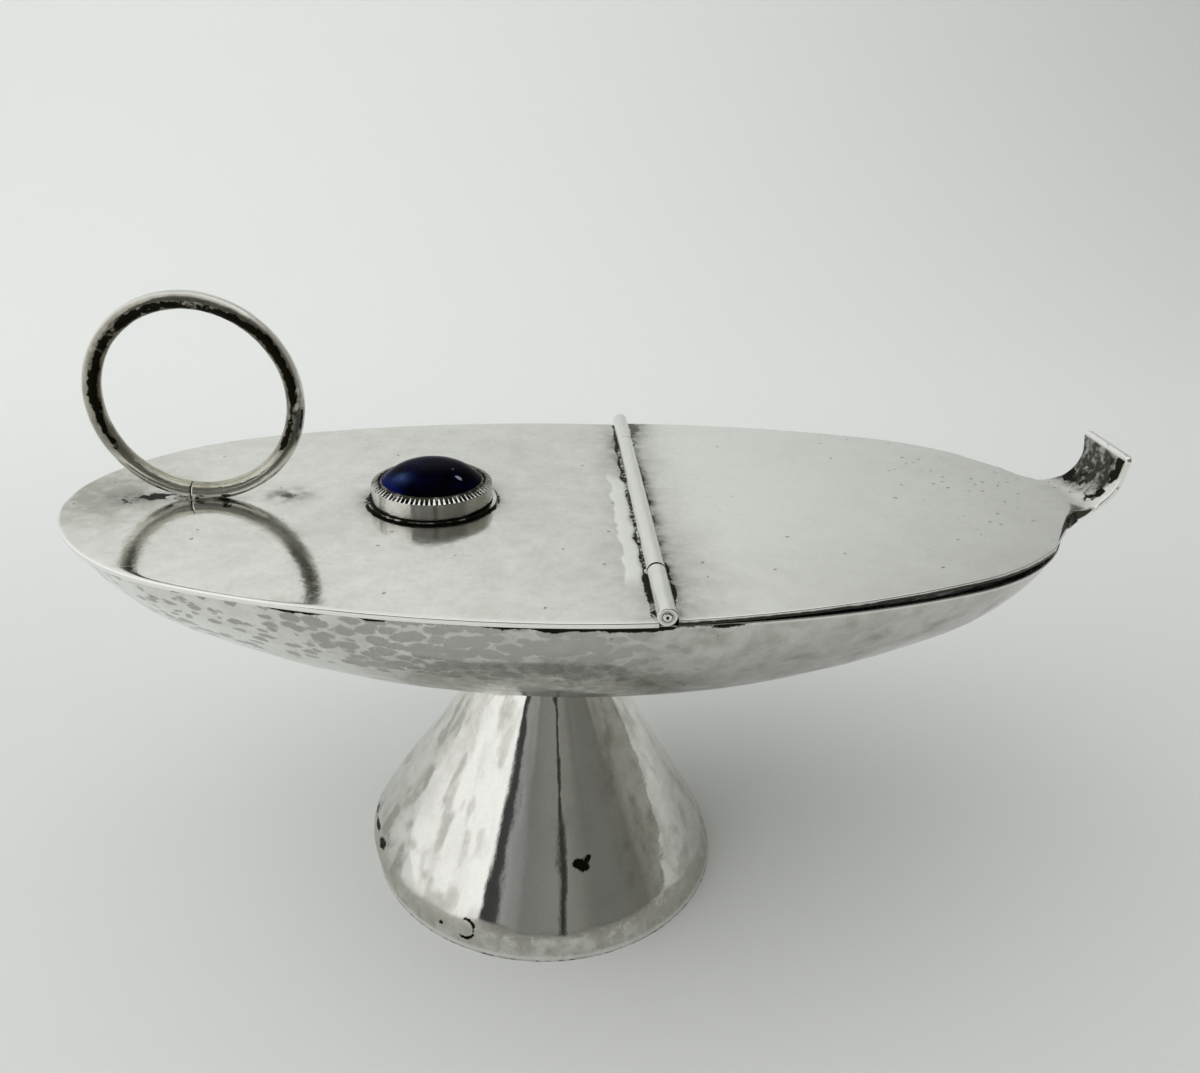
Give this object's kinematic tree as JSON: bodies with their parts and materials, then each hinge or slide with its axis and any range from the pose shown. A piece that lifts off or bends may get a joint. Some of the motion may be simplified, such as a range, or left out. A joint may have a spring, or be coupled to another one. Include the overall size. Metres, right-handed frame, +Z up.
{
  "type": "incense boat",
  "caption": "Boat-shaped incense vessel on a conical foot: a fixed half lid carries a ring handle and a set stone, and a hinged half lid ends in a curled thumb piece.",
  "frame": {"origin": "centre of the foot's base, on the surface that the boat stands on", "axes": "+X along the boat from the ring handle to the thumb piece, +Y across the boat to its back, +Z up"},
  "size_m": [0.1686, 0.08, 0.1021],
  "materials": {
    "hammered_silver": "hammered silver, worn polish with grey tarnish",
    "lid_silver": "worn polished silver with cloudy tarnish and fine scratches",
    "oxidised_silver": "drawn silver wire, dark in its hollows and bright on its outer edges",
    "bezel_silver": "bright silver strip with black grime at its foot and between its teeth",
    "hinge_silver": "smooth drawn silver tube and wire",
    "blue_stone": "polished deep blue cabochon"
  },
  "bodies": {
    "boat": {"foot_cone": "hammered_silver", "boat_hull": "hammered_silver", "fixed_lid": "lid_silver", "ring_handle": "oxidised_silver", "bezel_plate": "bezel_silver", "bezel_collar": "bezel_silver", "stone_bearer": "bezel_silver", "cabochon": "blue_stone", "centre_knuckle": "hinge_silver"},
    "lid": {"moving_lid": "lid_silver", "front_knuckle": "hinge_silver", "back_knuckle": "hinge_silver", "hinge_pin": "hinge_silver"}
  },
  "joints": [
    {"name": "lid_hinge", "type": "hinge", "parent": "boat", "child": "lid", "pos_m": [0.014, 0, 0.06995], "axis": [0, -1, 0], "range_deg": [-1.6, 147]}
  ]
}
